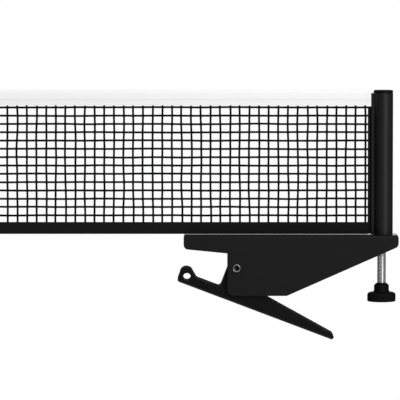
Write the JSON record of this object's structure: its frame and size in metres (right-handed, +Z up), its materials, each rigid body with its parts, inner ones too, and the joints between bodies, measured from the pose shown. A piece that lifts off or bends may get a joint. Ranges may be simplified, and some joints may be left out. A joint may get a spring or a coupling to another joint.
{
  "type": "table tennis net clamp",
  "caption": "Clip-on net clamp for a table tennis table: sprung lever jaw, folded steel housing, screw-raised post and a stretch of taped net.",
  "frame": {"origin": "the table's upper edge: the inner corner between the upper jaw's grip pad and the housing's inner edge, in the clamp's middle plane", "axes": "+X away from the table along the clamp, +Y across the clamp, +Z up along the post"},
  "size_m": [0.3764, 0.0292, 0.2299],
  "materials": {
    "housing_paint": "satin black powder coat with a fine orange-peel grain",
    "lever_paint": "smooth black paint, a little glossier than the housing",
    "post_paint": "satin black coat on an aluminium extrusion",
    "zinc_steel": "bright zinc-plated steel",
    "spring_steel": "oiled spring wire",
    "screw_steel": "bright zinc-plated thread",
    "black_plastic": "moulded black plastic",
    "grip_rubber": "matt black rubber",
    "net_twine": "black knitted polyester twine",
    "white_tape": "white coated tape, folded and stitched",
    "black_tape": "black ribbed webbing",
    "white_cord": "white braided cord"
  },
  "bodies": {
    "housing_body": {"housing": "housing_paint", "stop_bar": "zinc_steel", "pivot_rivet": "zinc_steel", "pivot_washer_front": "zinc_steel", "pivot_washer_rear": "zinc_steel", "guide_tube": "zinc_steel", "height_nut": "zinc_steel", "jaw_block": "black_plastic", "jaw_pad": "grip_rubber", "torsion_spring": "spring_steel"},
    "lever_body": {"lever": "lever_paint", "pivot_bush": "zinc_steel", "nose_tube": "lever_paint", "nose_pad": "grip_rubber"},
    "post_body": {"post_tube": "post_paint", "post_cap": "black_plastic", "thrust_plug": "black_plastic", "side_welt": "black_plastic", "side_binding": "black_tape", "net_mesh": "net_twine", "top_tape": "white_tape", "top_cord": "white_cord", "bottom_tape": "black_tape", "end_hem": "black_tape"},
    "knob_body": {"height_screw": "screw_steel", "height_knob": "black_plastic"}
  },
  "joints": [
    {"name": "lever_pivot", "type": "hinge", "parent": "housing_body", "child": "lever_body", "pos_m": [0.0084, 0, -0.0134], "axis": [0, -1, 0], "range_deg": [0, 25], "stiffness_Nm_per_rad": 3.3, "springref_deg": -34.38, "deforming": ["torsion_spring"]},
    {"name": "post_height", "type": "slide", "parent": "housing_body", "child": "post_body", "axis": [0, 0, 1], "range_m": [0, 0.02]},
    {"name": "knob_turn", "type": "hinge", "parent": "post_body", "child": "knob_body", "pos_m": [0.1422, 0, 0], "axis": [0, 0, 1], "range_deg": [0, 5760]}
  ],
  "couplings": [
    {"joint": "knob_turn", "follows": "post_height", "rad_per_m": 5026.5}
  ]
}
